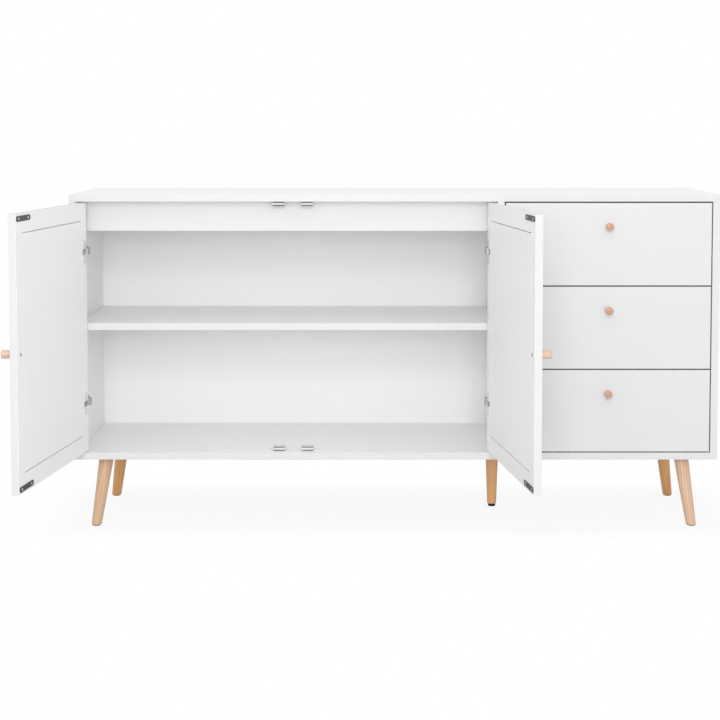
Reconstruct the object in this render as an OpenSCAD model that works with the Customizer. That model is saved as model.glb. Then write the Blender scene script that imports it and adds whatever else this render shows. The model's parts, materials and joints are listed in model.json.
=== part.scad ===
// Sideboard with a two-door cupboard, three drawers and five wooden legs.
// X runs to the right, Y from front to back, Z up from the floor. The doors stand open at rest.

/* [Cabinet] */
// Width of the cabinet over both sides
cabinet_w = 1500; // [1440:5:1640]
// Depth of the cabinet from the front edges to the back edges
cabinet_d = 400; // [380:5:460]
// Height of the box without its legs
carcass_h = 616; // [560:2:680]
// Height of the box's underside above the floor
leg_h = 164; // [130:2:200]
// Thickness of the white boards
board_t = 16; // [15:0.5:18]
// Clear width of the cupboard between its side and the divider
cupboard_w = 972; // [930:2:1000]

/* [Back and rail] */
// Thickness of the back panels
back_t = 3; // [2.5:0.5:4]
// Distance from the back edges to the back panels
back_inset = 8; // [6:1:12]
// Depth of the grooves that hold the back panels
groove_deep = 6; // [4:0.5:6]
// Height of the rail under the top
rail_h = 70; // [50:2:90]
// Distance of the rail's face from the front
rail_set_back = 40; // [38:1:60]

/* [Shelf] */
// Distance of the shelf's edge from the front
shelf_set_back = 21; // [20:1:40]
// Gap between the shelf and the boards around it
shelf_gap = 0.8; // [0.4:0.1:1.5]
// Diameter of the shelf supports' pegs
peg_d = 5; // [4:0.5:6]
// Length of a peg inside its board
peg_in = 9; // [7:0.5:11]
// Distance of the front pegs from the shelf's edge
peg_from_front = 40; // [35:1:60]
// Distance of the back pegs from the back panel
peg_from_back = 50; // [40:1:70]

/* [Doors] */
// Angle that the doors stand open at rest
door_open = 97.5; // [90:0.5:98]
// Gap around the doors and the drawer fronts
front_gap = 3; // [2.5:0.1:4]
// Width of the doors' frame boards
frame_w = 40; // [38:1:60]
// Depth of the field behind the front of the frame
field_recess = 5; // [3:0.5:6]
// Width of the fine joint around the field
field_joint = 1.4; // [0.8:0.1:2.5]
// Thickness of the tongues that hold the frame and the field
tongue_t = 4; // [3:0.5:5]
// Length of the tongues
tongue_l = 8; // [6:0.5:8]

/* [Hinges] */
// Distance of the hinges from the doors' top and bottom edges
hinge_from_end = 112.5; // [90:0.5:140]
// Distance of the pivot from the door's hinge edge
pivot_u = 9; // [9:0.1:9.5]
// Distance of the pivot from the door's outer face
pivot_v = 7.5; // [7.5:0.1:8]
// Diameter of the hinge pins
pin_d = 3; // [2.5:0.1:3]
// Diameter of the hinge cups
cup_d = 26; // [25.6:0.1:26]
// Distance of a cup's centre from the door's hinge edge
cup_u = 18; // [17.5:0.1:18]
// Length of the hinge arm's knuckle
knuckle_l = 12; // [10:0.5:12.5]
// Thickness of the arm's neck at the knuckle
neck_t = 2.4; // [2:0.1:2.6]
// Height of the arm's body
arm_h = 16; // [14:0.5:18]
// Thickness of the mounting plates
hinge_plate_t = 6; // [5:0.5:7]
// Distance of the mounting plates' screws from the front
hinge_plate_y = 54; // [50:1:64]

/* [Catches] */
// Distance of the left catch from the middle of the cupboard
left_catch_off = 20; // [18:1:30]
// Distance of the right catch from the middle of the cupboard
right_catch_off = 46; // [19:1:60]
// Width of a catch's body
catch_w = 29; // [26:1:32]
// Height of a catch's body
catch_h = 12; // [10:0.5:14]
// Depth of a catch's body
catch_d = 19; // [16:0.5:20]
// Width over a catch's ears
catch_ears_w = 53; // [48:1:58]
// Thickness of a catch's ears
catch_ear_t = 2.5; // [2:0.5:3]
// Length of a strike plate
strike_l = 86; // [70:1:100]
// Width of a strike plate
strike_w = 11.5; // [10:0.5:13]
// Thickness of a strike plate and of a hinge's flange
plate_t = 1.2; // [1:0.1:1.4]
// Distance of a strike plate from the door's top or bottom edge
strike_from_end = 4.5; // [3:0.5:8]
// Distance of a strike plate from the door's free edge
strike_from_edge = 3.5; // [3:0.5:8]
// Distance between a strike plate's screws
strike_pitch = 58; // [40:1:64]

/* [Knobs] */
// Diameter of a knob's head
knob_d = 18; // [16:0.5:26]
// Diameter of a knob's foot
knob_foot_d = 15.5; // [12:0.5:16]
// Length of a knob
knob_l = 24; // [18:0.5:28]
// Distance of a door knob from the free edge
knob_from_edge = 19; // [18:0.5:30]
// Distance of a drawer knob from the top of its front
knob_from_top = 54; // [40:1:70]
// Diameter of the knobs' screws
knob_screw_d = 4; // [3:0.5:5]
// Length of a knob's screw inside the knob
knob_screw_in = 11; // [8:0.5:13]

/* [Drawers] */
// Width of the space for a runner on each side
runner_gap = 12.7; // [12.5:0.1:14]
// Height of a runner
runner_h = 35; // [30:1:45]
// Length of the runners and the drawer boxes
drawer_l = 350; // [300:5:355]
// Thickness of the drawer boxes' sides
drawer_t = 12; // [10:0.5:15]
// Height of the drawer boxes' sides
drawer_side_h = 120; // [100:2:130]
// Height of the drawer boxes above the fronts' lower edges
drawer_lift = 25; // [20:1:30]
// Thickness of the drawer bottoms
drawer_bottom_t = 3; // [2.5:0.5:5]
// Height of the drawer bottoms above the boxes' lower edges
drawer_bottom_lift = 10; // [8:1:14]

/* [Legs] */
// Diameter of the corner legs at the cabinet
leg_top_d = 34.5; // [30:0.5:38]
// Diameter of the corner legs at the floor
leg_foot_d = 23; // [18:0.5:28]
// Outward lean of the corner legs, both sideways and lengthways
leg_splay = 8; // [0:0.5:12]
// Distance of a foot's centre from the cabinet's side
foot_from_side = 50; // [46:1:80]
// Distance of a foot's centre from the cabinet's front or back
foot_from_front = 42; // [38:1:70]
// Diameter of the middle leg at the cabinet
centre_leg_top_d = 34; // [28:0.5:38]
// Diameter of the middle leg at its lower end
centre_leg_foot_d = 22; // [21:0.5:28]
// Distance of the middle leg from the front
centre_leg_y = 240; // [150:5:260]
// Distance of the middle leg to the left of the divider's middle
centre_leg_left = 1.5; // [0:0.5:6]
// Thickness of the glides under the corner legs
glide_t = 2; // [1:0.5:4]
// Diameter of the levelling foot
level_d = 19.5; // [16:0.5:24]
// Thickness of the levelling foot
level_t = 4.5; // [3:0.5:7]
// Diameter of the levelling foot's neck, which slides in the leg's end
level_neck_d = 15; // [12:0.5:16]
// Way that the levelling foot can be screwed in
level_travel = 2; // [1.5:0.5:5]
// Diameter of the leg bolts and the levelling foot's stem
bolt_d = 8; // [6:0.5:9]
// Width of the square leg plates
leg_plate_w = 56; // [52:1:60]
// Thickness of the leg plates
leg_plate_t = 1.5; // [1:0.25:2.5]

/* [Fittings] */
// Diameter of the wood screws
screw_d = 3.5; // [3:0.25:4]
// Length of the wood screws in the boards
screw_l = 11; // [9:0.5:12]
// Distance of the dowels from the front and back edges
dowel_inset = 60; // [50:1:75]
// Distance of the cam locks from the front and back edges
cam_inset = 104; // [96:1:120]
// Diameter of the dowels
dowel_d = 8; // [6:0.5:8]
// Length of a dowel inside the face of a board
dowel_in_face = 11; // [9:0.5:12]
// Length of a dowel inside the edge of a board
dowel_in_edge = 19; // [15:0.5:24]
// Diameter of the cam locks
cam_d = 15; // [12:0.5:15]
// Depth of the cam locks
cam_h = 12; // [10:0.5:12.5]
// Distance of the cam locks from the joint
cam_from_joint = 34; // [24:1:40]
// Diameter of the cam bolts
cam_bolt_d = 6; // [5:0.5:6]

/* [Hidden] */
$fn = 48;

// Colours
white_board = "#f3f3f2";
white_plastic = "#ededec";
oak = "#d9a878";
knob_wood = "#d9a184";
beech_dowel = "#d8b98c";
bright_steel = "#b9bbbd";
dark_steel = "#7d7a78";
black_plastic = "#1d1d1e";

// Clearances
fit = 0.1;        // between a fitting and its hole in the same piece of furniture
run_fit = 0.06;   // between a hinge pin and its knuckle, on the radius
move_gap = 0.4;   // between pieces that slide or swing past each other
hair = 0.05;      // glue line between the pieces of one frame or box
cut = 1;          // how far a cut runs past the face that it starts from

// Levels and faces of the box
in_z = leg_h + board_t;
in_h = carcass_h - 2 * board_t;
top_z = leg_h + carcass_h - board_t;
divider_x = board_t + cupboard_w;
bay_x = divider_x + board_t;
bay_w = cabinet_w - bay_x - board_t;
bay_end = bay_x + bay_w;
cupboard_mid = board_t + cupboard_w / 2;
back_y = cabinet_d - back_inset - back_t;
shelf_z = in_z + (in_h - board_t) / 2;

// Doors, with u along the width from the hinge edge and v from the outer face inwards
door_t = board_t;
door_h = in_h - 2 * front_gap;
door_w = (cupboard_w - 3 * front_gap) / 2;
door_z = in_z + front_gap;
pivot_x = board_t + front_gap + pivot_u;
tongue_v = (door_t - tongue_t) / 2 + 1;
hinge_zs = [hinge_from_end, door_h - hinge_from_end];
knuckle_r = pin_d / 2 + 1.4;
cup_floor = 1;
pocket_v = pivot_v - knuckle_r - 0.3;
cup_v = pocket_v - cup_floor;
slot_h = knuckle_l + 2 * move_gap;
flange_w = 20;
flange_h = 52;
flange_screw_z = flange_h / 2 - 6;
arm_y = pivot_v + norm([pivot_u, door_t - pivot_v]) + 2;
catch_y = door_t + plate_t + move_gap;
pin_l = 2 * (sqrt(pow(cup_d / 2, 2) - pow(cup_u - pivot_u + pin_d / 2, 2)) - 0.5);
csk_d = 1.7 * screw_d;
arm_hump = 18;
arm_tail = 22;
plate_start = arm_y + 8;
plate_end = hinge_plate_y + arm_tail + 2;

// Catches, with the magnet between two pole plates
pole_t = 2;
magnet_t = catch_h - 6.4;
pole_w = catch_w - 2;
pole_z = (catch_h - magnet_t) / 2 - pole_t;

// Drawers, counted from the bottom
drawer_front_h = (in_h - 4 * front_gap) / 3;
drawer_pitch = drawer_front_h + front_gap;
drawer_box_x = bay_x + runner_gap;
drawer_box_w = bay_w - 2 * runner_gap;
runner_wall = 1.2;
runner_z = drawer_lift + drawer_side_h / 2;
runner_screw_ys = [90, 260];
box_screw_low = 30;
box_screw_high = 20;
box_screw_zs = [drawer_lift + box_screw_low, drawer_lift + drawer_side_h - box_screw_high];
drawer_knob_at = [bay_x + bay_w / 2, 0, drawer_front_h - knob_from_top];
bottom_z = drawer_lift + drawer_bottom_lift;
bottom_tuck = drawer_t / 2;

// Corner legs as [side, front or back]: -1 is left or front, 1 is right or back
corners = [[-1, -1], [1, -1], [-1, 1], [1, 1]];
lean = tan(leg_splay);
axis_stretch = norm([1, lean, lean]);
leg_screw_off = leg_plate_w / 2 - 7;
leg_top_z = leg_h - leg_plate_t;
centre_leg_x = divider_x + board_t / 2 - centre_leg_left;
centre_leg_z = level_t + level_travel + move_gap;
level_stem_l = 30;
level_neck_in = 2; // Part of the neck inside the leg with the foot screwed out
leg_tops = [
    for (c = corners) foot_at(c) + leg_top_z * [-c[0] * lean, -c[1] * lean, 1],
    [centre_leg_x, centre_leg_y, leg_top_z]
];
bolt_up = board_t - 5;
bolt_down = 32;

// Places of the fittings along the depth
dowel_ys = [dowel_inset, cabinet_d - dowel_inset];
cam_ys = [cam_inset, cabinet_d - cam_inset];
peg_ys = [shelf_set_back + peg_from_front, back_y - peg_from_back];
rail_dowel_zs = [18, rail_h - 18];
upright_xs = [board_t / 2, divider_x + board_t / 2, cabinet_w - board_t / 2];
catch_xs = [cupboard_mid - left_catch_off, cupboard_mid + right_catch_off];
ear_screw_off = (catch_ears_w + catch_w) / 4;
screw_head_d = 2 * screw_d;
screw_head_h = 1.8;

// The origin lies on the floor, under the middle of the outline with both doors open
knob_tip_r = knob_d / 2 - 2;
x_min = min(0, pivot_x + (door_w - knob_from_edge + knob_tip_r - pivot_u) * cos(door_open)
      - (knob_l + pivot_v) * sin(door_open));
y_min = pivot_v - (door_w - pivot_u) * sin(door_open) + (door_t - pivot_v) * cos(door_open);
origin_x = (x_min + cabinet_w) / 2;
origin_y = (y_min + cabinet_d) / 2;

// ---- Places ----

module in_place() translate([-origin_x, -origin_y, 0]) children();

module block(from, size) translate(from) cube(size);

// A cylinder from a point along one of the axes, such as [0, 0, -1] for down
module rod(from, dir, l, d) {
    turn = dir[0] != 0 ? [0, 90 * dir[0], 0] : dir[1] != 0 ? [-90 * dir[1], 0, 0]
         : dir[2] > 0 ? [0, 0, 0] : [180, 0, 0];
    translate(from) rotate(turn) cylinder(h = l, d = d);
}

// A hole that a fitting of diameter d fills to depth l
module socket(from, dir, l, d)
    rod(from - dir * cut, dir, l + fit + cut, d + 2 * fit);

module screw(from, dir, l, d, head_d, head_h) {
    rod(from, dir, l, d);
    rod(from, -dir, head_h, head_d);
}

module wood_screw(from, dir, plate = 0) screw(from - dir * plate, dir, screw_l + plate, screw_d,
    screw_head_d, screw_head_h);

// Puts a door's own u, v and height where the open left door has them
module left_door()
    translate([pivot_x, pivot_v, door_z]) rotate([0, 0, -door_open])
        translate([-pivot_u, -pivot_v, 0]) children();

// Mirrors the cupboard's left side to its right side
module right_side() translate([2 * cupboard_mid, 0, 0]) mirror([1, 0, 0]) children();

module right_door() right_side() left_door() children();

function foot_at(c) = [
    c[0] < 0 ? foot_from_side : cabinet_w - foot_from_side,
    c[1] < 0 ? foot_from_front : cabinet_d - foot_from_front, 0];

// Puts a leg's own axis on its lean, with z = 0 on the floor
module at_corner(c) translate(foot_at(c))
    rotate([0, atan(norm([lean, lean])), atan2(-c[1], -c[0])]) children();

// ---- Fittings that are cut from boards and drawn as pieces ----

module hinge_plate_screws(extra = 0)
    for (z = hinge_zs, s = [-1, 1])
        wood_screw([board_t, hinge_plate_y, door_z + z + s * arm_h], [-1, 0, 0], extra);

module runner_screws(i, extra = 0)
    for (y = runner_screw_ys) {
        z = in_z + front_gap + i * drawer_pitch + runner_z;
        wood_screw([bay_x, y, z], [-1, 0, 0], extra);
        wood_screw([bay_end, y, z], [1, 0, 0], extra);
    }

module screw_sockets_hinge()
    for (z = hinge_zs, s = [-1, 1])
        socket([board_t, hinge_plate_y, door_z + z + s * arm_h], [-1, 0, 0], screw_l, screw_d);

module screw_sockets_runner(x, dir)
    for (i = [0:2], y = runner_screw_ys)
        socket([x, y, in_z + front_gap + i * drawer_pitch + runner_z], dir, screw_l, screw_d);

module peg_sockets(x, dir)
    for (y = peg_ys) socket([x, y, shelf_z - peg_d / 2], dir, peg_in, peg_d);

// Dowel holes and cam locks at both ends of an upright, with the cams on the side that dir faces
module upright_joints(mid_x, dir) {
    face_x = mid_x + dir[0] * board_t / 2;
    for (end = [[in_z, 1], [top_z, -1]]) {
        up = [0, 0, end[1]];
        for (y = dowel_ys) socket([mid_x, y, end[0]], up, dowel_in_edge, dowel_d);
        for (y = cam_ys) {
            cam_z = end[0] + end[1] * cam_from_joint;
            socket([mid_x, y, end[0]], up, cam_from_joint, cam_bolt_d + 1);
            socket([face_x, y, cam_z], -dir, cam_h, cam_d);
        }
    }
}

// Dowel and cam bolt holes in the face of the top or the bottom board
module face_joints(z, dir)
    for (x = upright_xs) {
        for (y = dowel_ys) socket([x, y, z], dir, dowel_in_face, dowel_d);
        for (y = cam_ys) socket([x, y, z], dir, dowel_in_face, cam_bolt_d);
    }

module rail_end_sockets(x, dir, l)
    for (z = rail_dowel_zs)
        socket([x, rail_set_back + board_t / 2, top_z - z], dir, l, dowel_d);

module catch_screw_sockets(z, dir)
    for (x = catch_xs, s = [-1, 1])
        socket([x + s * ear_screw_off, catch_y + catch_d / 2, z], dir, screw_l, screw_d);

module back_groove(from, size)
    block([from[0], back_y - fit, from[1]], [size[0], back_t + 2 * fit, size[1]]);

// ---- Carcass ----

module top_panel() color(white_board) in_place() difference() {
    block([0, 0, top_z], [cabinet_w, cabinet_d, board_t]);
    back_groove([board_t - groove_deep, top_z - cut], [cupboard_w + 2 * groove_deep, groove_deep + cut]);
    back_groove([bay_x - groove_deep, top_z - cut], [bay_w + 2 * groove_deep, groove_deep + cut]);
    face_joints(top_z, [0, 0, 1]);
    catch_screw_sockets(top_z, [0, 0, 1]);
}

module bottom_panel() color(white_board) in_place() difference() {
    block([0, 0, leg_h], [cabinet_w, cabinet_d, board_t]);
    back_groove([board_t - groove_deep, in_z - groove_deep],
        [cupboard_w + 2 * groove_deep, groove_deep + cut]);
    back_groove([bay_x - groove_deep, in_z - groove_deep], [bay_w + 2 * groove_deep, groove_deep + cut]);
    face_joints(in_z, [0, 0, -1]);
    catch_screw_sockets(in_z, [0, 0, -1]);
    for (t = leg_tops, a = [-1, 1], b = [-1, 1])
        socket([t[0] + a * leg_screw_off, t[1] + b * leg_screw_off, leg_h], [0, 0, 1], screw_l, screw_d);
    leg_bolt_shanks(2 * fit);
}

module left_side_panel() color(white_board) in_place() difference() {
    block([0, 0, in_z], [board_t, cabinet_d, in_h]);
    back_groove([board_t - groove_deep, in_z - cut], [groove_deep + cut, in_h + 2 * cut]);
    upright_joints(board_t / 2, [1, 0, 0]);
    screw_sockets_hinge();
    peg_sockets(board_t, [-1, 0, 0]);
    rail_end_sockets(board_t, [-1, 0, 0], dowel_in_face);
}

module right_side_panel() color(white_board) in_place() difference() {
    block([bay_end, 0, in_z], [board_t, cabinet_d, in_h]);
    back_groove([bay_end - cut, in_z - cut], [groove_deep + cut, in_h + 2 * cut]);
    upright_joints(cabinet_w - board_t / 2, [-1, 0, 0]);
    screw_sockets_runner(bay_end, [1, 0, 0]);
}

module divider_panel() color(white_board) in_place() difference() {
    block([divider_x, 0, in_z], [board_t, cabinet_d, in_h]);
    back_groove([divider_x - cut, in_z - cut], [groove_deep + cut, in_h + 2 * cut]);
    back_groove([bay_x - groove_deep, in_z - cut], [groove_deep + cut, in_h + 2 * cut]);
    upright_joints(divider_x + board_t / 2, [1, 0, 0]);
    right_side() screw_sockets_hinge();
    screw_sockets_runner(bay_x, [-1, 0, 0]);
    peg_sockets(divider_x, [1, 0, 0]);
    rail_end_sockets(divider_x, [1, 0, 0], dowel_in_face);
}

// A back panel that stands in the grooves around a bay
module back_panel(x, w) color(white_board) in_place() {
    tuck = groove_deep - fit;
    block([x - tuck, back_y, in_z - tuck], [w + 2 * tuck, back_t, in_h + 2 * tuck]);
}

module cupboard_back() back_panel(board_t, cupboard_w);
module drawer_bay_back() back_panel(bay_x, bay_w);

module front_rail() color(white_board) in_place() difference() {
    block([board_t, rail_set_back, top_z - rail_h], [cupboard_w, board_t, rail_h]);
    rail_end_sockets(board_t, [1, 0, 0], dowel_in_edge);
    rail_end_sockets(divider_x, [-1, 0, 0], dowel_in_edge);
}

module shelf() color(white_board) in_place()
    block([board_t + shelf_gap, shelf_set_back, shelf_z],
        [cupboard_w - 2 * shelf_gap, back_y - shelf_gap - shelf_set_back, board_t]);

// A peg in the board with a flat tongue under the shelf
module shelf_support(x, y, side) {
    rod([x - side * peg_in, y, shelf_z - peg_d / 2], [side, 0, 0], peg_in + 1, peg_d);
    block([side > 0 ? x : x - 10, y - 4, shelf_z - peg_d], [10, 8, peg_d]);
}

module shelf_supports() color(bright_steel) in_place()
    for (y = peg_ys) {
        shelf_support(board_t, y, 1);
        shelf_support(divider_x, y, -1);
    }

module dowels() color(beech_dowel) in_place() {
    for (x = upright_xs, y = dowel_ys) {
        rod([x, y, in_z - dowel_in_face], [0, 0, 1], dowel_in_face + dowel_in_edge, dowel_d);
        rod([x, y, top_z + dowel_in_face], [0, 0, -1], dowel_in_face + dowel_in_edge, dowel_d);
    }
    for (z = rail_dowel_zs) {
        y = rail_set_back + board_t / 2;
        rod([board_t - dowel_in_face, y, top_z - z], [1, 0, 0], dowel_in_face + dowel_in_edge, dowel_d);
        rod([divider_x + dowel_in_face, y, top_z - z], [-1, 0, 0], dowel_in_face + dowel_in_edge,
            dowel_d);
    }
}

module cam_bolts() color(bright_steel) in_place()
    for (x = upright_xs, y = cam_ys, end = [[in_z, 1], [top_z, -1]])
        rod([x, y, end[0] - end[1] * dowel_in_face], [0, 0, end[1]],
            dowel_in_face + cam_from_joint - 2, cam_bolt_d);

// The cams lie in the inner face of each upright, open towards their bolts
module cam_locks() color(dark_steel) in_place()
    for (side = [[upright_xs[0], 1], [upright_xs[1], 1], [upright_xs[2], -1]],
         y = cam_ys, end = [[in_z, 1], [top_z, -1]])
        translate([side[0] + side[1] * board_t / 2, y, end[0] + end[1] * cam_from_joint])
            difference() {
                rod([0, 0, 0], [-side[1], 0, 0], cam_h, cam_d);
                rod([-side[1] * board_t / 2, 0, 0], [0, 0, -end[1]], cam_d, cam_bolt_d + 1);
                block([-0.6, -5, -1], [1.2, 10, 2]);
            }

// ---- Legs ----

// A tapered round leg along its own axis, wide enough at both ends to be cut level
module leg_stick(l, foot_d, top_d) {
    slope = (top_d - foot_d) / l;
    over = 20;
    translate([0, 0, -over])
        cylinder(h = l + 2 * over, d1 = foot_d - over * slope, d2 = top_d + over * slope, $fn = 96);
}

module corner_leg(c) color(oak) in_place() difference() {
    intersection() {
        at_corner(c) leg_stick(leg_top_z * axis_stretch, leg_foot_d, leg_top_d);
        block([0, 0, glide_t], [cabinet_w, cabinet_d, leg_top_z - glide_t]);
    }
    leg_bolt_shanks(2 * fit);
}

module front_left_leg() corner_leg(corners[0]);
module front_right_leg() corner_leg(corners[1]);
module back_left_leg() corner_leg(corners[2]);
module back_right_leg() corner_leg(corners[3]);

module centre_leg() color(oak) in_place() difference() {
    translate([centre_leg_x, centre_leg_y, centre_leg_z])
        cylinder(h = leg_top_z - centre_leg_z, d1 = centre_leg_foot_d, d2 = centre_leg_top_d, $fn = 96);
    leg_bolt_shanks(2 * fit);
    socket([centre_leg_x, centre_leg_y, centre_leg_z], [0, 0, 1], level_stem_l,
        bolt_d + 2 * (move_gap - fit));
    socket([centre_leg_x, centre_leg_y, centre_leg_z], [0, 0, 1],
        level_neck_in + level_travel + move_gap, level_neck_d + 2 * (move_gap - fit));
}

// Straight bolts from the legs through their plates into the bottom board
module leg_bolt_shanks(wider = 0) {
    for (c = corners)
        at_corner(c)
            translate([0, 0, leg_h * axis_stretch - bolt_down - wider / 2])
                cylinder(h = bolt_down + bolt_up + wider, d = bolt_d + wider);
    translate([centre_leg_x, centre_leg_y, leg_h - bolt_down - wider / 2])
        cylinder(h = bolt_down + bolt_up + wider, d = bolt_d + wider);
}

module leg_bolts() color(bright_steel) in_place() leg_bolt_shanks();

module leg_plates() color(dark_steel) in_place() difference() {
    for (t = leg_tops)
        block([t[0] - leg_plate_w / 2, t[1] - leg_plate_w / 2, leg_top_z],
            [leg_plate_w, leg_plate_w, leg_plate_t]);
    leg_bolt_shanks(2 * fit);
    for (t = leg_tops, a = [-1, 1], b = [-1, 1])
        socket([t[0] + a * leg_screw_off, t[1] + b * leg_screw_off, leg_top_z], [0, 0, 1],
            leg_plate_t + cut, screw_d);
}

// Level discs under the leaning legs
module leg_glides() color(black_plastic) in_place()
    for (c = corners) translate(foot_at(c)) cylinder(h = glide_t, d = leg_foot_d - 4);

module levelling_foot() color(black_plastic) in_place() translate([centre_leg_x, centre_leg_y, 0]) {
    cylinder(h = level_t, d1 = level_d - 3, d2 = level_d);
    cylinder(h = centre_leg_z + level_neck_in, d = level_neck_d);
    cylinder(h = centre_leg_z + level_stem_l - level_travel - move_gap, d = bolt_d);
}

// ---- Hinges ----

// The arm seen from above, from its hump near the door down to the mounting plate
module arm_outline() {
    low = board_t + hinge_plate_t;
    polygon([
        [low, arm_y + 2], [low + 3, arm_y], [low + arm_hump, arm_y], [low + arm_hump + 2, arm_y + 3],
        [low + arm_hump + 2, arm_y + arm_hump + 2], [low + 12, arm_y + arm_hump + 10],
        [low + 9, hinge_plate_y + arm_tail], [low, hinge_plate_y + arm_tail]
    ]);
}

module hinge_arm() difference() {
    union() {
        cylinder_at_pivot(knuckle_l, 2 * knuckle_r);
        block([pivot_x - neck_t / 2, pivot_v, -knuckle_l / 2], [neck_t, arm_y + 1 - pivot_v, knuckle_l]);
        translate([0, 0, -arm_h / 2]) linear_extrude(arm_h) arm_outline();
    }
    cylinder_at_pivot(knuckle_l + 2 * cut, pin_d + 2 * run_fit);
}

module cylinder_at_pivot(l, d) translate([pivot_x, pivot_v, -l / 2]) cylinder(h = l, d = d);

module left_hinge_arms() for (z = hinge_zs) translate([0, 0, door_z + z]) hinge_arm();

module hinge_arms() color(bright_steel) in_place() {
    left_hinge_arms();
    right_side() left_hinge_arms();
}

// A cross-shaped plate under the arm, with a screw in each wing
module hinge_plate() difference() {
    union() {
        block([board_t, plate_start, -arm_h / 2 + 1], [hinge_plate_t, plate_end - plate_start, arm_h - 2]);
        block([board_t, hinge_plate_y - 6, -arm_h - 6], [2, 12, 2 * arm_h + 12]);
    }
    for (s = [-1, 1])
        socket([board_t + 2, hinge_plate_y, s * arm_h], [-1, 0, 0], 2 + cut, screw_d);
}

module left_hinge_plates() for (z = hinge_zs) translate([0, 0, door_z + z]) hinge_plate();

module hinge_plates() color(bright_steel) in_place() {
    left_hinge_plates();
    right_side() left_hinge_plates();
}

// ---- Catches ----

// Two pole plates, one over the other, with the magnet between them
module catch_stack(grow = 0) {
    front = grow > 0 ? -cut : 0.4;
    for (z = [pole_z, pole_z + pole_t + magnet_t])
        block([-pole_w / 2 - grow, front, z - grow],
            [pole_w + 2 * grow, catch_d - 3 + grow - front, pole_t + 2 * grow]);
    block([-pole_w / 2 - grow, 2, pole_z + pole_t + hair],
        [pole_w + 2 * grow, catch_d - 5 + grow, magnet_t - 2 * hair]);
}

// Pieces of the magnetic catches, at the bottom as drawn and mirrored under the top
module at_catches()
    for (x = catch_xs) {
        translate([x, catch_y, in_z]) children();
        translate([x, catch_y, top_z]) mirror([0, 0, 1]) children();
    }

module catch_housings() color(white_plastic) in_place() at_catches() difference() {
    union() {
        block([-catch_w / 2, 0.8, 0], [catch_w, catch_d - 0.8, catch_h]);
        block([-catch_ears_w / 2, catch_d / 2 - 5, 0], [catch_ears_w, 10, catch_ear_t]);
    }
    catch_stack(fit);
    for (s = [-1, 1])
        socket([s * ear_screw_off, catch_d / 2, catch_ear_t], [0, 0, -1], catch_ear_t + cut, screw_d);
}

module catch_magnets() color(dark_steel) in_place() at_catches() catch_stack();

// All the wood screws of the carcass: hinge plates, catches, runners and leg plates
module carcass_screws() color(bright_steel) in_place() {
    hinge_plate_screws(2);
    right_side() hinge_plate_screws(2);
    for (i = [0:2]) runner_screws(i, runner_wall);
    for (x = catch_xs, s = [-1, 1]) {
        wood_screw([x + s * ear_screw_off, catch_y + catch_d / 2, in_z], [0, 0, -1], catch_ear_t);
        wood_screw([x + s * ear_screw_off, catch_y + catch_d / 2, top_z], [0, 0, 1], catch_ear_t);
    }
    for (t = leg_tops, a = [-1, 1], b = [-1, 1])
        wood_screw([t[0] + a * leg_screw_off, t[1] + b * leg_screw_off, leg_h], [0, 0, 1], leg_plate_t);
}

// ---- Doors, in their own u, v and height ----

module stile(u, inner) difference() {
    block([u, 0, 0], [frame_w, door_t, door_h]);
    block([inner > 0 ? u + frame_w - tongue_l - fit : u - cut, tongue_v - fit, -cut],
        [tongue_l + fit + cut, tongue_t + 2 * fit, door_h + 2 * cut]);
}

module rail(z, inner) difference() {
    union() {
        block([frame_w + hair, 0, z], [door_w - 2 * (frame_w + hair), door_t, frame_w]);
        block([frame_w - tongue_l, tongue_v, z], [door_w - 2 * (frame_w - tongue_l), tongue_t, frame_w]);
    }
    block([frame_w - tongue_l - cut, tongue_v - fit, inner > 0 ? z + frame_w - tongue_l - fit : z - cut],
        [door_w - 2 * (frame_w - tongue_l - cut), tongue_t + 2 * fit, tongue_l + fit + cut]);
}

// The room in the hinge stile for the cup and the swinging arm
module cup_pocket(z) {
    rod([cup_u, cup_v - fit, z], [0, 1, 0], door_t, cup_d + 2 * fit);
    block([-cut, pocket_v, z - slot_h / 2], [cup_u + cut, door_t, slot_h]);
}

module strike_places() for (z = [strike_from_end + strike_w / 2, door_h - strike_from_end - strike_w / 2])
    translate([door_w - strike_from_edge - strike_l / 2, door_t, z]) children();

// Where the plate screws stand on the door's inner face
module screw_places() {
    for (z = hinge_zs, s = [-1, 1]) translate([cup_u, door_t, z + s * flange_screw_z]) children();
    strike_places() for (s = [-1, 1]) translate([s * strike_pitch / 2, 0, 0]) children();
}

// A countersunk screw that ends flush with the face of a plate
module plate_screw(grow = 0) {
    rod([0, plate_t, 0], [0, -1, 0], screw_l + plate_t + grow, screw_d + 2 * grow);
    rotate([-90, 0, 0])
        cylinder(h = plate_t + grow, d1 = screw_d + 2 * grow, d2 = csk_d + 2 * grow);
}

module door_stiles() difference() {
    union() {
        stile(0, 1);
        stile(door_w - frame_w, -1);
    }
    for (z = hinge_zs) cup_pocket(z);
    screw_places() plate_screw(fit);
    knob_hole([door_w - knob_from_edge, 0, door_h / 2]);
}

module door_rails() difference() {
    union() {
        rail(0, 1);
        rail(door_h - frame_w, -1);
    }
    screw_places() plate_screw(fit);
}

module door_field() {
    inset = frame_w + field_joint;
    tuck = frame_w - tongue_l + fit;
    block([inset, field_recess, inset], [door_w - 2 * inset, door_t - field_recess, door_h - 2 * inset]);
    block([tuck, tongue_v, tuck], [door_w - 2 * tuck, tongue_t, door_h - 2 * tuck]);
}

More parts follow.
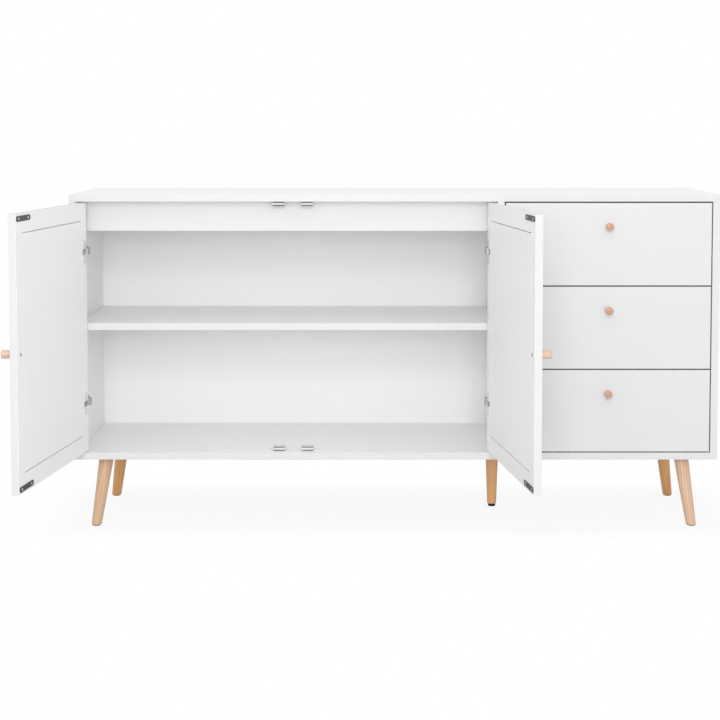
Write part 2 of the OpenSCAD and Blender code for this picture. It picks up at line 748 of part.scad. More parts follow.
// A round wooden knob along -Y, with its foot on the plane y = 0
module knob(at) difference() {
    translate(at) rotate([90, 0, 0]) rotate_extrude($fn = 64) polygon([
        [0, 0], [knob_foot_d / 2, 0], [knob_foot_d / 2, 1.5],
        [0.5 * (knob_foot_d + knob_d) / 2, knob_l * 0.45], [knob_d / 2, knob_l - 6],
        [knob_d / 2, knob_l - 3], [knob_d / 2 - 0.7, knob_l - 1], [knob_tip_r, knob_l], [0, knob_l]
    ]);
    socket(at, [0, -1, 0], knob_screw_in, knob_screw_d);
}

module knob_hole(at) rod(at - [0, cut, 0], [0, 1, 0], door_t + 2 * cut, knob_screw_d + 2 * fit);

module knob_screw(at) screw(at + [0, door_t, 0], [0, -1, 0], door_t + knob_screw_in, knob_screw_d, 8, 2);

// A hinge cup with its flange, open where the arm comes out
module hinge_cup(z) translate([cup_u, 0, z]) difference() {
    union() {
        rod([0, cup_v, 0], [0, 1, 0], door_t - cup_v, cup_d);
        block([-flange_w / 2, door_t, -flange_h / 2], [flange_w, plate_t, flange_h]);
    }
    block([-cup_u - cut, pocket_v, -slot_h / 2], [cup_u + cut + cup_d / 2 - 3, door_t + cut, slot_h]);
    for (s = [-1, 1]) translate([0, door_t, s * flange_screw_z]) plate_screw(fit);
    translate([pivot_u - cup_u, pivot_v, -pin_l / 2 - fit]) cylinder(h = pin_l + 2 * fit, d = pin_d + 0.02);
}

module hinge_pin(z) translate([pivot_u, pivot_v, z - pin_l / 2]) cylinder(h = pin_l, d = pin_d);

// A strike plate with round ends and two countersunk holes
module strike_plate() difference() {
    union() {
        block([-(strike_l - strike_w) / 2, 0, -strike_w / 2], [strike_l - strike_w, plate_t, strike_w]);
        for (s = [-1, 1]) rod([s * (strike_l - strike_w) / 2, 0, 0], [0, 1, 0], plate_t, strike_w);
    }
    for (s = [-1, 1]) translate([s * strike_pitch / 2, 0, 0]) plate_screw(fit);
}

module door_frame() {
    door_stiles();
    door_rails();
}

module door_knob() knob([door_w - knob_from_edge, 0, door_h / 2]);

module door_cups() for (z = hinge_zs) hinge_cup(z);

module door_pins() for (z = hinge_zs) hinge_pin(z);

module door_strikes() strike_places() strike_plate();

module door_screws() {
    screw_places() plate_screw();
    knob_screw([door_w - knob_from_edge, 0, door_h / 2]);
}

module left_door_frame() color(white_board) in_place() left_door() door_frame();
module left_door_field() color(white_board) in_place() left_door() door_field();
module left_door_knob() color(knob_wood) in_place() left_door() door_knob();
module left_door_cups() color(bright_steel) in_place() left_door() door_cups();
module left_door_pins() color(bright_steel) in_place() left_door() door_pins();
module left_door_strikes() color(dark_steel) in_place() left_door() door_strikes();
module left_door_screws() color(bright_steel) in_place() left_door() door_screws();

module right_door_frame() color(white_board) in_place() right_door() door_frame();
module right_door_field() color(white_board) in_place() right_door() door_field();
module right_door_knob() color(knob_wood) in_place() right_door() door_knob();
module right_door_cups() color(bright_steel) in_place() right_door() door_cups();
module right_door_pins() color(bright_steel) in_place() right_door() door_pins();
module right_door_strikes() color(dark_steel) in_place() right_door() door_strikes();
module right_door_screws() color(bright_steel) in_place() right_door() door_screws();

// ---- Drawers ----

module at_drawer(i) in_place() translate([0, 0, in_z + front_gap + i * drawer_pitch]) children();

// The space of a drawer bottom, with room around it when it is cut
module drawer_bottom_sheet(grow = 0)
    block([drawer_box_x + drawer_t - bottom_tuck - grow, board_t - bottom_tuck - grow, bottom_z - grow],
        [drawer_box_w - 2 * (drawer_t - bottom_tuck - grow),
         drawer_l - drawer_t + 2 * (bottom_tuck + grow), drawer_bottom_t + 2 * grow]);

// Where the front is fixed to the ends of the sides
module front_joint_places()
    for (x = [drawer_box_x + drawer_t / 2, drawer_box_x + drawer_box_w - drawer_t / 2], z = box_screw_zs)
        translate([x, board_t, z]) children();

// Screws through the sides into the ends of the back board
module back_joint_rods(grow = 0)
    for (s = [-1, 1], z = box_screw_zs)
        rod([bay_x + bay_w / 2 + s * (drawer_box_w / 2 - drawer_t - screw_l - grow),
             board_t + drawer_l - drawer_t / 2, z], [s, 0, 0], drawer_t + screw_l + 2 * grow,
            screw_d + 2 * grow);

module drawer_front(i) color(white_board) at_drawer(i) difference() {
    block([bay_x + front_gap, 0, 0], [bay_w - 2 * front_gap, board_t, drawer_front_h]);
    drawer_bottom_sheet(fit);
    knob_hole(drawer_knob_at);
    front_joint_places() socket([0, 0, 0], [0, -1, 0], screw_l, screw_d);
}

// Two sides with the back board between them
module drawer_box(i) color(white_board) at_drawer(i) difference() {
    union() {
        for (x = [drawer_box_x, drawer_box_x + drawer_box_w - drawer_t])
            block([x, board_t, drawer_lift], [drawer_t, drawer_l, drawer_side_h]);
        block([drawer_box_x + drawer_t + hair, board_t + drawer_l - drawer_t, drawer_lift],
            [drawer_box_w - 2 * (drawer_t + hair), drawer_t, drawer_side_h]);
    }
    drawer_bottom_sheet(fit);
    front_joint_places() socket([0, 0, 0], [0, 1, 0], screw_l, screw_d);
    back_joint_rods(fit);
}

module drawer_bottom(i) color(white_board) at_drawer(i) drawer_bottom_sheet();

module drawer_knob(i) color(knob_wood) at_drawer(i) knob(drawer_knob_at);

// A channel on the drawer side that runs inside the cabinet's channel
module drawer_runner(side) {
    x = side < 0 ? drawer_box_x : drawer_box_x + drawer_box_w;
    inner_h = runner_h - 2 * (runner_wall + move_gap);
    deep = runner_gap - 2 * runner_wall - 2;
    translate([x, board_t + 1, runner_z]) {
        block([side < 0 ? -runner_wall : 0, 0, -inner_h / 2], [runner_wall, drawer_l - 2, inner_h]);
        for (z = [-inner_h / 2, inner_h / 2 - runner_wall])
            block([side < 0 ? -deep : 0, 0, z], [deep, drawer_l - 2, runner_wall]);
    }
}

module drawer_runners(i) color(bright_steel) at_drawer(i) {
    drawer_runner(-1);
    drawer_runner(1);
}

module drawer_screws(i) color(bright_steel) at_drawer(i) {
    knob_screw(drawer_knob_at);
    back_joint_rods();
    front_joint_places() rod([0, -screw_l, 0], [0, 1, 0], 2 * screw_l, screw_d);
}

// The channels on the cabinet's side and the divider
module cabinet_runner(side) {
    deep = runner_gap - runner_wall - 1;
    x = side < 0 ? bay_x : bay_end;
    difference() {
        union() {
            block([side < 0 ? x : x - runner_wall, board_t + 1, runner_z - runner_h / 2],
                [runner_wall, drawer_l, runner_h]);
            for (z = [-runner_h / 2, runner_h / 2 - runner_wall])
                block([side < 0 ? x : x - deep, board_t + 1, runner_z + z], [deep, drawer_l, runner_wall]);
        }
        for (y = runner_screw_ys)
            rod([x + side * cut, y, runner_z], [-side, 0, 0], 2 * cut + runner_wall, screw_d + 2 * fit);
    }
}

module cabinet_runners() color(bright_steel)
    for (i = [0:2]) at_drawer(i) {
        cabinet_runner(-1);
        cabinet_runner(1);
    }

module top_drawer_front() drawer_front(2);
module top_drawer_box() drawer_box(2);
module top_drawer_bottom() drawer_bottom(2);
module top_drawer_knob() drawer_knob(2);
module top_drawer_runners() drawer_runners(2);
module top_drawer_screws() drawer_screws(2);

module middle_drawer_front() drawer_front(1);
module middle_drawer_box() drawer_box(1);
module middle_drawer_bottom() drawer_bottom(1);
module middle_drawer_knob() drawer_knob(1);
module middle_drawer_runners() drawer_runners(1);
module middle_drawer_screws() drawer_screws(1);

module lower_drawer_front() drawer_front(0);
module lower_drawer_box() drawer_box(0);
module lower_drawer_bottom() drawer_bottom(0);
module lower_drawer_knob() drawer_knob(0);
module lower_drawer_runners() drawer_runners(0);
module lower_drawer_screws() drawer_screws(0);

// ---- Output ----

top_panel();
bottom_panel();
left_side_panel();
right_side_panel();
divider_panel();
cupboard_back();
drawer_bay_back();
front_rail();
shelf();
shelf_supports();
front_left_leg();
front_right_leg();
back_left_leg();
back_right_leg();
centre_leg();
leg_plates();
leg_bolts();
leg_glides();
levelling_foot();
hinge_arms();
hinge_plates();
catch_housings();
catch_magnets();
cabinet_runners();
carcass_screws();
cam_locks();
cam_bolts();
dowels();
left_door_frame();
left_door_field();
left_door_knob();
left_door_cups();
left_door_pins();
left_door_strikes();
left_door_screws();
right_door_frame();
right_door_field();
right_door_knob();
right_door_cups();
right_door_pins();
right_door_strikes();
right_door_screws();
top_drawer_front();
top_drawer_box();
top_drawer_bottom();
top_drawer_knob();
top_drawer_runners();
top_drawer_screws();
middle_drawer_front();
middle_drawer_box();
middle_drawer_bottom();
middle_drawer_knob();
middle_drawer_runners();
middle_drawer_screws();
lower_drawer_front();
lower_drawer_box();
lower_drawer_bottom();
lower_drawer_knob();
lower_drawer_runners();
lower_drawer_screws();
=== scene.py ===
"""Finish of a white sideboard: eased boards, turned wood, metal fittings and a studio.

The file is laid out as a Blender add-on and is run as a script. All sizes are in metres.
"""

import json
import math

import bmesh
import bpy
from mathutils import Euler, Matrix, Vector

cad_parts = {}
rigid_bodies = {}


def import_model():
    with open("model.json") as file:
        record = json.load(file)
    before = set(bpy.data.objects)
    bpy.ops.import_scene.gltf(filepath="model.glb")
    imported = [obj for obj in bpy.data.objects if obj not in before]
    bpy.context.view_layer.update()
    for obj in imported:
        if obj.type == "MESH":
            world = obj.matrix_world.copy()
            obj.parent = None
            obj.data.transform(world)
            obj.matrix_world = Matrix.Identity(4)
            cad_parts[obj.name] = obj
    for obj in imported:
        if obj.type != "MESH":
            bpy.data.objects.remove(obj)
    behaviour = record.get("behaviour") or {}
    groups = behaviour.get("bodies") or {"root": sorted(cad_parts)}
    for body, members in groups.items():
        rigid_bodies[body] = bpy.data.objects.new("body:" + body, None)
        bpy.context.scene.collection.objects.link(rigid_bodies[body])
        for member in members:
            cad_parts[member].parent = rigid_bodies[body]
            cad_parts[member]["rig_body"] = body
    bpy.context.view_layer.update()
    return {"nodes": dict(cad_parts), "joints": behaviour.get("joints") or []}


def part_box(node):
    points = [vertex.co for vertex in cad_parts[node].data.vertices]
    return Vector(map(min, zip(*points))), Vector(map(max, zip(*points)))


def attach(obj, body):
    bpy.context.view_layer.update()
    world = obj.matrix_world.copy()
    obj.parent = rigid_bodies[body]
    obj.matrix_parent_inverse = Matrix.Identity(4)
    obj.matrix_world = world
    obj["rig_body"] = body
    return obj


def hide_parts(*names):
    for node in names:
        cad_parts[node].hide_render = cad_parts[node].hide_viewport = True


bl_info = {
    "name": "Sideboard finish",
    "version": (1, 0, 0),
    "blender": (4, 5, 0),
    "location": "View3D > Sidebar > Sideboard",
    "description": "Dresses the frame of a sideboard with finished boards, wood and fittings",
    "category": "Object",
}

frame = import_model()
MM = 0.001
X, Y, Z = Vector((1, 0, 0)), Vector((0, 1, 0)), Vector((0, 0, 1))
DOORS = ("left_door", "right_door")
DRAWERS = ("lower_drawer", "middle_drawer", "top_drawer")
# Each leg with the name of its colour; the left front leg has its own darker colour, which is
# painted shade
LEGS = {"front_left_leg": "front_left_leg", "front_right_leg": "front_right_leg",
        "back_left_leg": "back_leg", "back_right_leg": "back_leg", "centre_leg": "centre_leg"}
CREASE = math.radians(32)  # Edges that turn more than this are shaded as creases
SHARP = math.radians(35)  # Edges that turn more than this are eased
FLAT = math.radians(0.5)  # Faces that turn less than this are one face
WELD = 0.004 * MM  # Points closer than this are one point
NEAR = 0.02 * MM  # Points closer than this lie in one plane
SOFT = {"interpolation_type": "SMOOTHSTEP"}
WHITE = (1, 1, 1, 1)


def srgb(*levels):
    """A colour given by its three display levels from 0 to 255, as linear light."""
    shares = (level / 255 for level in levels)
    return tuple(s / 12.92 if s <= 0.04045 else ((s + 0.055) / 1.055) ** 2.4 for s in shares)


# ---- Settings ----


class SideboardColours(bpy.types.PropertyGroup):
    """The colours of the finishes."""

    board: bpy.props.FloatVectorProperty(
        name="Boards", description="White laminate of the boards and the caps", subtype="COLOR",
        default=srgb(250, 250, 250), min=0, max=1)
    # Painted shade: the faces that look to the front take this darker white in place of the board
    # white, because they catch more lamp light than the inside of the cupboard
    front: bpy.props.FloatVectorProperty(
        name="Fronts", description="White lacquer of the fronts and the front edges",
        subtype="COLOR", default=srgb(223, 223, 224), min=0, max=1)
    thin_board: bpy.props.FloatVectorProperty(
        name="Thin boards", description="White face of the backs and the drawer bottoms",
        subtype="COLOR", default=srgb(249, 249, 249), min=0, max=1)
    # Painted shade: darker than the right front leg, to even out the stronger light that falls on
    # this leg
    front_left_leg: bpy.props.FloatVectorProperty(
        name="Left front leg", description="Light wood of the left front leg", subtype="COLOR",
        default=srgb(221, 186, 153), min=0, max=1)
    front_right_leg: bpy.props.FloatVectorProperty(
        name="Right front leg", description="Light wood of the right front leg", subtype="COLOR",
        default=srgb(230, 198, 170), min=0, max=1)
    back_leg: bpy.props.FloatVectorProperty(
        name="Back legs", description="Light wood of the back legs", subtype="COLOR",
        default=srgb(234, 178, 118), min=0, max=1)
    centre_leg: bpy.props.FloatVectorProperty(
        name="Middle leg", description="Light wood of the middle leg", subtype="COLOR",
        default=srgb(247, 193, 139), min=0, max=1)
    knob: bpy.props.FloatVectorProperty(
        name="Knobs", description="Light wood of the knobs", subtype="COLOR",
        default=srgb(226, 197, 177), min=0, max=1)
    knob_end: bpy.props.FloatVectorProperty(
        name="Knob ends", description="Deeper tone of the end grain of the knobs",
        subtype="COLOR", default=srgb(199, 142, 110), min=0, max=1)
    late_wood: bpy.props.FloatVectorProperty(
        name="Late wood", description="What the rings and pores leave of the light wood",
        subtype="COLOR", default=(0.80, 0.66, 0.55), min=0, max=1)
    nickel: bpy.props.FloatVectorProperty(
        name="Nickel", description="Plating of the hinge arms, knob screws and shelf supports",
        subtype="COLOR", default=srgb(188, 186, 185), min=0, max=1)
    satin_nickel: bpy.props.FloatVectorProperty(
        name="Satin nickel", description="Plating of the hinge cups and the other screws",
        subtype="COLOR", default=srgb(230, 229, 228), min=0, max=1)
    zinc: bpy.props.FloatVectorProperty(
        name="Zinc", description="Plating of the drawer runners", subtype="COLOR",
        default=srgb(200, 203, 206), min=0, max=1)
    bare_steel: bpy.props.FloatVectorProperty(
        name="Bare steel", description="Strikes, magnets, leg plates and adjusting screws",
        subtype="COLOR", default=srgb(86, 82, 82), min=0, max=1)
    # White plastic of the catch housings, set darker than it is to paint in the shade under the
    # top board
    white_plastic: bpy.props.FloatVectorProperty(
        name="White plastic", description="Housings of the catches", subtype="COLOR",
        default=srgb(222, 222, 221), min=0, max=1)
    black_plastic: bpy.props.FloatVectorProperty(
        name="Black plastic", description="Glides and the levelling foot", subtype="COLOR",
        default=srgb(30, 29, 28), min=0, max=1)


class SideboardSizes(bpy.types.PropertyGroup):
    """The small sizes that finish the edges and fittings."""

    board_ease: bpy.props.FloatProperty(
        name="Board edges", description="Rounding of the boards' edges", unit="LENGTH",
        default=0.5 * MM, min=0.1 * MM, max=2 * MM)
    metal_ease: bpy.props.FloatProperty(
        name="Metal edges", description="Rounding of the metal pieces' edges", unit="LENGTH",
        default=0.25 * MM, min=0.05 * MM, max=0.5 * MM)
    leg_ease: bpy.props.FloatProperty(
        name="Leg ends", description="Rounding of the legs' lower ends", unit="LENGTH",
        default=0.9 * MM, min=0.2 * MM, max=2 * MM)
    glide_ease: bpy.props.FloatProperty(
        name="Glides", description="Rounding of the floor glides' edges", unit="LENGTH",
        default=0.4 * MM, min=0.1 * MM, max=1 * MM)
    foot_ease: bpy.props.FloatProperty(
        name="Levelling foot", description="Rounding of the levelling foot's edges",
        unit="LENGTH", default=0.7 * MM, min=0.1 * MM, max=1 * MM)
    catch_ease: bpy.props.FloatProperty(
        name="Catches", description="Rounding of the catch housings' edges", unit="LENGTH",
        default=0.5 * MM, min=0.1 * MM, max=1 * MM)
    flange_corner: bpy.props.FloatProperty(
        name="Flange corners", description="Radius of the corners of the hinge cups' flanges",
        unit="LENGTH", default=4 * MM, min=1 * MM, max=5 * MM)
    cap_d: bpy.props.FloatProperty(
        name="Cover caps", description="Diameter of the caps over the cam locks",
        unit="LENGTH", default=17 * MM, min=16 * MM, max=20 * MM)
    cap_h: bpy.props.FloatProperty(
        name="Cap height", description="Height of a cover cap", unit="LENGTH",
        default=0.9 * MM, min=0.4 * MM, max=2 * MM)


class StudioSettings(bpy.types.PropertyGroup):
    """The camera, the lamps and the floor."""

    camera_at: bpy.props.FloatVectorProperty(
        name="Camera", description="Place of the camera", subtype="TRANSLATION",
        unit="LENGTH", default=(-0.0275, -3.8286, 0.9533))
    camera_tilt: bpy.props.FloatProperty(
        name="Tilt", description="How far the camera looks down", subtype="ANGLE",
        default=math.radians(3.707))
    lens: bpy.props.FloatProperty(
        name="Lens", description="Focal length in millimetres", subtype="DISTANCE_CAMERA",
        default=83.975, min=20, max=200)
    shift: bpy.props.FloatVectorProperty(
        name="Shift", description="Sideways and upward shift, as a share of the frame",
        size=2, default=(-0.0121, -0.1833))
    front_power: bpy.props.FloatProperty(
        name="Front lamp", description="Power of the lamp behind the camera",
        subtype="POWER", default=41, min=0)
    high_power: bpy.props.FloatProperty(
        name="High lamp", description="Power of the lamp above the front lamp",
        subtype="POWER", default=32, min=0)
    top_power: bpy.props.FloatProperty(
        name="Top lamp", description="Power of the lamp above and before the cabinet",
        subtype="POWER", default=13, min=0)
    back_power: bpy.props.FloatProperty(
        name="Back lamp", description="Power of the lamp low behind the cabinet",
        subtype="POWER", default=12, min=0)
    ambient: bpy.props.FloatProperty(
        name="Ambient", description="Strength of the light from all around", subtype="FACTOR",
        default=0.78, min=0, max=1)
    shadow_share: bpy.props.FloatProperty(
        name="Floor shadow", description="How much of its shadows the white floor shows",
        subtype="FACTOR", default=0.13, min=0, max=1)


def settings():
    """The colours, the sizes and the studio settings."""
    scene = bpy.context.scene
    return scene.sideboard_colours, scene.sideboard_sizes, scene.sideboard_studio


# ---- Shader building ----


class Wire:
    """A shader socket whose arithmetic adds Math nodes to its material."""

    def __init__(self, paint, socket):
        self.paint, self.socket = paint, socket

    def _math(self, operation, first, second):
        return self.paint.node("Math", {"operation": operation}, {0: first, 1: second})

    def __add__(self, other):
        return self._math("ADD", self, other)

    def __sub__(self, other):
        return self._math("SUBTRACT", self, other)

    def __mul__(self, other):
        return self._math("MULTIPLY", self, other)

    def __pow__(self, other):
        return self._math("POWER", self, other)


class Paint:
    """The node tree of one material or of the world, built node by node."""

    def __init__(self, owner):
        owner.use_nodes = True
        self.tree = owner.node_tree
        self.tree.nodes.clear()

    def node(self, kind, options=None, inputs=None, output=0):
        """Adds a node: its options first, then the values or wires of its sockets."""
        made = self.tree.nodes.new("ShaderNode" + kind)
        for name, value in (options or {}).items():
            if name == "stops":
                ramp = made.color_ramp.elements
                while len(ramp) < len(value):
                    ramp.new(1)
                for stop, (place, colour) in zip(ramp, value):
                    stop.position, stop.color = place, (*colour, 1)
            else:
                setattr(made, name, value)
        for name, value in (inputs or {}).items():
            if isinstance(value, Wire):
                self.tree.links.new(value.socket, made.inputs[name])
            else:
                made.inputs[name].default_value = value
        return Wire(self, made.outputs[output]) if made.outputs else made

    def place(self, matrix=None):
        """Object coordinates, or those of a piece's own axes when its matrix is given."""
        spot = self.node("TexCoord", output="Object")
        if matrix is None:
            return spot
        return self.node("Mapping", {"vector_type": "TEXTURE"}, {
            "Vector": spot, "Location": matrix.to_translation(), "Rotation": matrix.to_euler()})

    def vector_math(self, operation, *vectors, output=0):
        """Adds a Vector Math node for one or two vectors."""
        return self.node("VectorMath", {"operation": operation}, dict(enumerate(vectors)), output)

    def stretch(self, vector, *scale):
        """A vector scaled along X, Y and Z, so a scale below 1 draws a pattern out."""
        return self.vector_math("MULTIPLY", vector, scale)

    def along(self, vector, axis):
        """The part of a vector along axis 0, 1 or 2."""
        return self.node("SeparateXYZ", None, {0: vector}, output=axis)

    def noise(self, vector, scale, detail=2.0, roughness=0.5):
        return self.node("TexNoise", None, {
            "Vector": vector, "Scale": scale, "Detail": detail, "Roughness": roughness})

    def blend(self, share, first, second):
        """Mixes two colours."""
        return self.node("Mix", {"data_type": "RGBA"}, {0: share, 6: first, 7: second}, output=2)

    def ramp(self, share, *stops):
        return self.node("ValToRGB", {"stops": stops}, {0: share})

    def level(self, share, low, high):
        """Turns a share from 0 to 1 into a value between two bounds."""
        return share * (high - low) + low

    def rise(self, value, start, end, top=1.0, options=None):
        """Climbs from 0 to the top while a value goes from start to end."""
        return self.node("MapRange", options, {0: value, 1: start, 2: end, 3: 0.0, 4: top})

    def bump(self, height, strength, distance):
        return self.node("Bump", None, {
            "Height": height, "Strength": strength, "Distance": distance})

    def surface(self, **inputs):
        """Ends the tree with a Principled shader, whose sockets are named by the arguments."""
        sockets = {name.replace("_", " "): value for name, value in inputs.items()}
        shader = self.node("BsdfPrincipled", None, sockets)
        self.node("OutputMaterial", None, {"Surface": shader})


def rgba(colour):
    """A colour with full cover."""
    return (*colour, 1)


def shade(colour, factor):
    """A darker or lighter version of a colour."""
    return (*(min(1, c * factor) for c in colour), 1)


def laminate(name, colour, run):
    """White laminate with a fine pressed grain that runs along one axis."""
    material = bpy.data.materials.new(name)
    paint = Paint(material)
    spot = paint.place()
    drawn_out = [0.06 if axis is run else 1 for axis in (X, Y, Z)]
    fibre = paint.noise(paint.stretch(spot, *drawn_out), scale=900, detail=4, roughness=0.6)
    streak = paint.noise(paint.stretch(spot, *drawn_out), scale=130, detail=3, roughness=0.55)
    cloud = paint.noise(spot, scale=7, detail=3)
    tone = paint.blend(fibre * 0.3 + streak * 0.45 + cloud * 0.25,
                       shade(colour, 0.955), shade(colour, 1.035))
    paint.surface(
        Base_Color=tone,
        Roughness=paint.level(fibre, 0.34, 0.46) + paint.level(cloud, -0.02, 0.02),
        Normal=paint.bump(fibre, strength=0.12, distance=0.08 * MM))
    return material


def plain_board(name, colour):
    """A painted hardboard face with a slight orange peel."""
    material = bpy.data.materials.new(name)
    paint = Paint(material)
    spot = paint.place()
    peel = paint.noise(spot, scale=420, detail=3, roughness=0.55)
    cloud = paint.noise(spot, scale=5, detail=3)
    tone = paint.blend(cloud, shade(colour, 0.975), shade(colour, 1.01))
    paint.surface(
        Base_Color=tone,
        Roughness=paint.level(peel, 0.42, 0.56),
        Normal=paint.bump(peel, strength=0.15, distance=0.1 * MM))
    return material


def solid_wood(name, colour, matrix, ring_pitch, heart, lacquer=0.35, end=None):
    """Clear-lacquered wood whose rings run round the local Z axis, offset by the heart.

    The end, where there is one, is a height and the deeper colour of the end grain above it.
    """
    late_wood = settings()[0].late_wood
    light = tuple(colour)
    dark = tuple(c * part for c, part in zip(colour, late_wood))
    material = bpy.data.materials.new(name)
    paint = Paint(material)
    spot = paint.place(matrix)
    wander = paint.noise(paint.stretch(spot, 1, 1, 0.12), scale=26)
    across, back = paint.along(spot, 0), paint.along(spot, 1)
    radius = ((across + heart[0]) ** 2 + (back + heart[1]) ** 2) ** 0.5
    phase = (radius + wander * (1.6 * ring_pitch)) * (2 * math.pi / ring_pitch)
    late = (paint.node("Math", {"operation": "SINE"}, {0: phase}) * 0.5 + 0.5) ** 2.2
    fibre = paint.noise(paint.stretch(spot, 1, 1, 0.035), scale=1300, detail=3, roughness=0.65)
    flame = paint.noise(paint.stretch(spot, 1, 1, 0.1), scale=90, detail=3)
    specks = paint.noise(paint.stretch(spot, 1, 1, 0.02), scale=2400, detail=1)
    pores = paint.rise(specks, 0.6, 0.72)
    share = late * 0.42 + fibre * 0.34 + flame * 0.34 - 0.05
    grain = paint.ramp(share, (0.22, light), (0.78, dark))
    tone = paint.blend(pores * 0.35, grain, shade(dark, 0.72))
    if end:
        end_height, end_colour = end
        at_end = paint.rise(paint.along(spot, 2), end_height - 2.2 * MM, end_height, 0.8, SOFT)
        tone = paint.blend(at_end, tone, rgba(end_colour))
    paint.surface(
        Base_Color=tone,
        Roughness=paint.level(fibre, 0.36, 0.5) + pores * 0.12,
        Coat_Weight=paint.level(flame, lacquer * 0.6, lacquer),
        Coat_Roughness=0.28,
        Normal=paint.bump(fibre - pores * 0.6, strength=0.2, distance=0.1 * MM))
    return material


def plated(name, colour, rough, metallic=1.0):
    """Plated or bare sheet steel with fine drawn lines, soft mottling and small scratches."""
    material = bpy.data.materials.new(name)
    paint = Paint(material)
    spot = paint.place()
    lines = paint.noise(paint.stretch(spot, 1, 1, 0.05), scale=2600, detail=3, roughness=0.6)
    mottle = paint.noise(spot, scale=160, detail=4, roughness=0.6)
    marks = paint.noise(paint.stretch(spot, 0.12, 1, 1), scale=3200, detail=1)
    scratch = paint.rise(marks, 0.66, 0.76)
    tone = paint.blend(mottle, shade(colour, 0.86), shade(colour, 1.08))
    paint.surface(
        Base_Color=tone,
        Metallic=metallic,
        Roughness=paint.level(mottle, rough - 0.07, rough + 0.09) + scratch * 0.1,
        Normal=paint.bump(lines - scratch * 0.5, strength=0.15, distance=0.06 * MM))
    return material


def moulded(name, colour, rough):
    """Moulded plastic with a spark-eroded texture."""
    material = bpy.data.materials.new(name)
    paint = Paint(material)
    spot = paint.place()
    grain = paint.noise(spot, scale=1500, detail=3, roughness=0.6)
    cloud = paint.noise(spot, scale=60, detail=3)
    tone = paint.blend(cloud, shade(colour, 0.94), shade(colour, 1.05))
    paint.surface(
        Base_Color=tone,
        Roughness=paint.level(grain, rough - 0.06, rough + 0.08),
        Normal=paint.bump(grain, strength=0.2, distance=0.08 * MM))
    return material


MATERIALS = {}


def board_run(node):
    """The way that the grain of a board runs."""
    return "upright" if "door" in node or "side_panel" in node or "divider" in node else "level"


def front_shade_test(node):
    """A test that tells the faces of a board that look to the front, which take the darker front
    white as painted shade, from the other ones.

    On doors and drawer fronts the painted shade goes round the edges as well.
    """
    close = closed(body_of(node)).to_3x3()
    lean = 0.35 if node.startswith(DOORS) or node.endswith("_front") else -0.35
    return lambda face: (close @ face.normal).y < lean


def make_materials(colours):
    """Fills the table of the materials that several pieces share."""
    MATERIALS.update({
        "level": laminate("laminate_level", colours.board, X),
        "upright": laminate("laminate_upright", colours.board, Z),
        # Darker copies of the laminate for the faces that look to the front, which paint shade on
        # them
        "level_front": laminate("front_lacquer_level", colours.front, X),
        "upright_front": laminate("front_lacquer_upright", colours.front, Z),
        "thin_board": plain_board("painted_hardboard", colours.thin_board),
        "bright_steel": plated("nickel_plate", colours.nickel, rough=0.46),
        "pressed_steel": plated("satin_nickel", colours.satin_nickel, rough=0.4, metallic=0.5),
        "runner_steel": plated("zinc_plate", colours.zinc, rough=0.36),
        "dark_steel": plated("bare_steel", colours.bare_steel, rough=0.5, metallic=0.6),
        "white_plastic": moulded("white_plastic", colours.white_plastic, rough=0.4),
        "cap_plastic": moulded("cap_plastic", colours.board, rough=0.4),
        "black_plastic": moulded("black_plastic", colours.black_plastic, rough=0.45),
        "beech": solid_wood("raw_beech", colours.front_right_leg, Matrix(),
                            ring_pitch=2.5 * MM, heart=(0.4, 0.3), lacquer=0.0),
    })


# ---- Mesh building ----


def body_of(node):
    """The body that a CAD node moves with."""
    return frame["nodes"][node]["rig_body"]


def closed(body):
    """The matrix that closes a door, or leaves any other body as it is."""
    for joint in frame["joints"]:
        if joint["child"] == body and joint["type"] == "hinge":
            pivot = Matrix.Translation(joint["pos_m"])
            turn = Matrix.Rotation(math.radians(joint["range_deg"][1]), 4, Vector(joint["axis"]))
            return pivot @ turn @ pivot.inverted()
    return Matrix()


def solid_copy(node):
    """A CAD node's mesh with its loose triangles joined and its flat faces made whole."""
    bm = bmesh.new()
    bm.from_mesh(frame["nodes"][node].data)
    bmesh.ops.remove_doubles(bm, verts=bm.verts, dist=WELD)
    bmesh.ops.dissolve_limit(bm, angle_limit=FLAT, verts=bm.verts, edges=bm.edges)
    return bm


def round_edges(bm, edges, width, segments):
    """Rounds some edges."""
    bmesh.ops.bevel(bm, geom=edges, offset=width, offset_type="OFFSET", segments=segments,
                    profile=0.5, affect="EDGES", clamp_overlap=True, material=-1)


def ease(bm, width, segments=2, longer=0.0, wanted=None):
    """Rounds the sharp outer edges that are longer than a length and that a test accepts."""
    edges = [e for e in bm.edges
             if len(e.link_faces) == 2 and e.is_convex and e.calc_face_angle() > SHARP
             and e.calc_length() > longer and (wanted is None or wanted(e))]
    round_edges(bm, edges, width, segments)


def add_piece(bm, name, body, material, replaces=(), flats=True):
    """Makes a finished piece from a bmesh, smooth but for its creases.

    With flats, its large faces keep a level shading up to their eased edges.
    """
    for edge in bm.edges:
        edge.smooth = len(edge.link_faces) == 2 and edge.calc_face_angle() < CREASE
    for face in bm.faces:
        face.smooth = True
    mesh = bpy.data.meshes.new(name)
    bm.to_mesh(mesh)
    bm.free()
    if not mesh.polygons:
        raise RuntimeError(f"{name} has no faces")
    mesh.materials.append(material)
    piece = bpy.data.objects.new(name, mesh)
    bpy.context.scene.collection.objects.link(piece)
    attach(piece, body)
    if replaces:
        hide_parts(*replaces)
    if flats:
        level = piece.modifiers.new("level_shading", "WEIGHTED_NORMAL")
        level.mode, level.weight, level.keep_sharp = "FACE_AREA", 50, True
    return piece


def finish_node(node, slot, width, segments=2, longer=0.0, wanted=None, material=None):
    """A finished copy of a CAD node with eased edges, which stands for that node."""
    bm = solid_copy(node)
    ease(bm, width, segments, longer, wanted)
    add_piece(bm, "finished_" + node, body_of(node), material or MATERIALS[slot], [node])


